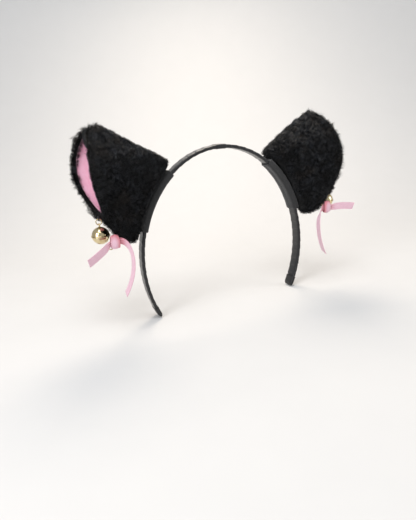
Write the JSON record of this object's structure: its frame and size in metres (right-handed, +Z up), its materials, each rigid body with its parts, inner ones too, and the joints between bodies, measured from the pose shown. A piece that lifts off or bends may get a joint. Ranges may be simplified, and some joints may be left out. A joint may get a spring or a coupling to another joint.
{
  "type": "animal ears headband",
  "caption": "Slim covered headband with cupped fur cat ears, pink lining, hanging jingle bells and satin ribbon bows.",
  "frame": {"origin": "middle of the crown, on the inner face that rests on the head", "axes": "+X to the wearer's left, -Y to the wearer's front, +Z up; the band lies in the XZ plane"},
  "size_m": [0.2354, 0.0459, 0.1535],
  "materials": {
    "black_plastic": "moulded black plastic",
    "black_satin": "black satin weave",
    "black_felt": "pressed black felt",
    "black_fur": "short black faux fur",
    "grey_foam": "thin sheet foam",
    "pink_plush": "short pink plush",
    "steel_wire": "drawn steel wire",
    "gold_plate": "polished gold plated brass",
    "steel_ball": "tumbled steel",
    "black_thread": "twisted black thread",
    "pink_satin": "pink satin ribbon"
  },
  "bodies": {
    "crown": {"band_crown_core": "black_plastic", "band_crown_sleeve": "black_satin"},
    "left_leg": {"band_left_core": "black_plastic", "band_left_sleeve": "black_satin", "band_left_end_cap": "black_plastic", "ear_left_felt_wrap": "black_felt", "ear_left_fur_cover": "black_fur", "ear_left_foam_stiffener": "grey_foam", "ear_left_pink_lining": "pink_plush", "ear_left_rim_wire": "steel_wire", "bell_left_thread_eye": "black_thread", "ribbon_left_knot": "pink_satin", "ribbon_left_outer_tail": "pink_satin", "ribbon_left_inner_tail": "pink_satin", "ribbon_left_gold_ring": "gold_plate"},
    "left_ring": {"bell_left_jump_ring": "gold_plate"},
    "left_bell": {"bell_left_top_shell": "gold_plate", "bell_left_bottom_shell": "gold_plate", "bell_left_eye": "gold_plate"},
    "left_pellet": {"bell_left_pellet": "steel_ball"},
    "right_leg": {"band_right_core": "black_plastic", "band_right_sleeve": "black_satin", "band_right_end_cap": "black_plastic", "ear_right_felt_wrap": "black_felt", "ear_right_fur_cover": "black_fur", "ear_right_foam_stiffener": "grey_foam", "ear_right_pink_lining": "pink_plush", "ear_right_rim_wire": "steel_wire", "bell_right_thread_eye": "black_thread", "ribbon_right_knot": "pink_satin", "ribbon_right_outer_tail": "pink_satin", "ribbon_right_inner_tail": "pink_satin", "ribbon_right_gold_ring": "gold_plate"},
    "right_ring": {"bell_right_jump_ring": "gold_plate"},
    "right_bell": {"bell_right_top_shell": "gold_plate", "bell_right_bottom_shell": "gold_plate", "bell_right_eye": "gold_plate"},
    "right_pellet": {"bell_right_pellet": "steel_ball"}
  },
  "joints": [
    {"name": "left_leg_flex", "type": "hinge", "parent": "crown", "child": "left_leg", "pos_m": [0.02341, 0, -0.00123], "axis": [0, -1, 0], "range_deg": [-2, 9], "stiffness_Nm_per_rad": 1.3},
    {"name": "left_ring_swing", "type": "hinge", "parent": "left_leg", "child": "left_ring", "pos_m": [0.1034, -0.004, -0.04325], "axis": [0, -1, 0], "range_deg": [-12, 40]},
    {"name": "left_bell_swing", "type": "hinge", "parent": "left_ring", "child": "left_bell", "pos_m": [0.1034, -0.004, -0.04635], "axis": [1, 0, 0], "range_deg": [-15, 35]},
    {"name": "left_pellet_roll", "type": "hinge", "parent": "left_bell", "child": "left_pellet", "pos_m": [0.1034, -0.004, -0.0546], "axis": [0, -1, 0], "range_deg": [-60, 60]},
    {"name": "right_leg_flex", "type": "hinge", "parent": "crown", "child": "right_leg", "pos_m": [-0.02341, 0, -0.00123], "axis": [0, 1, 0], "range_deg": [-2, 9], "stiffness_Nm_per_rad": 1.3},
    {"name": "right_ring_swing", "type": "hinge", "parent": "right_leg", "child": "right_ring", "pos_m": [-0.1034, -0.004, -0.04325], "axis": [0, 1, 0], "range_deg": [-12, 40]},
    {"name": "right_bell_swing", "type": "hinge", "parent": "right_ring", "child": "right_bell", "pos_m": [-0.1034, -0.004, -0.04635], "axis": [1, 0, 0], "range_deg": [-15, 35]},
    {"name": "right_pellet_roll", "type": "hinge", "parent": "right_bell", "child": "right_pellet", "pos_m": [-0.1034, -0.004, -0.0546], "axis": [0, 1, 0], "range_deg": [-60, 60]}
  ]
}
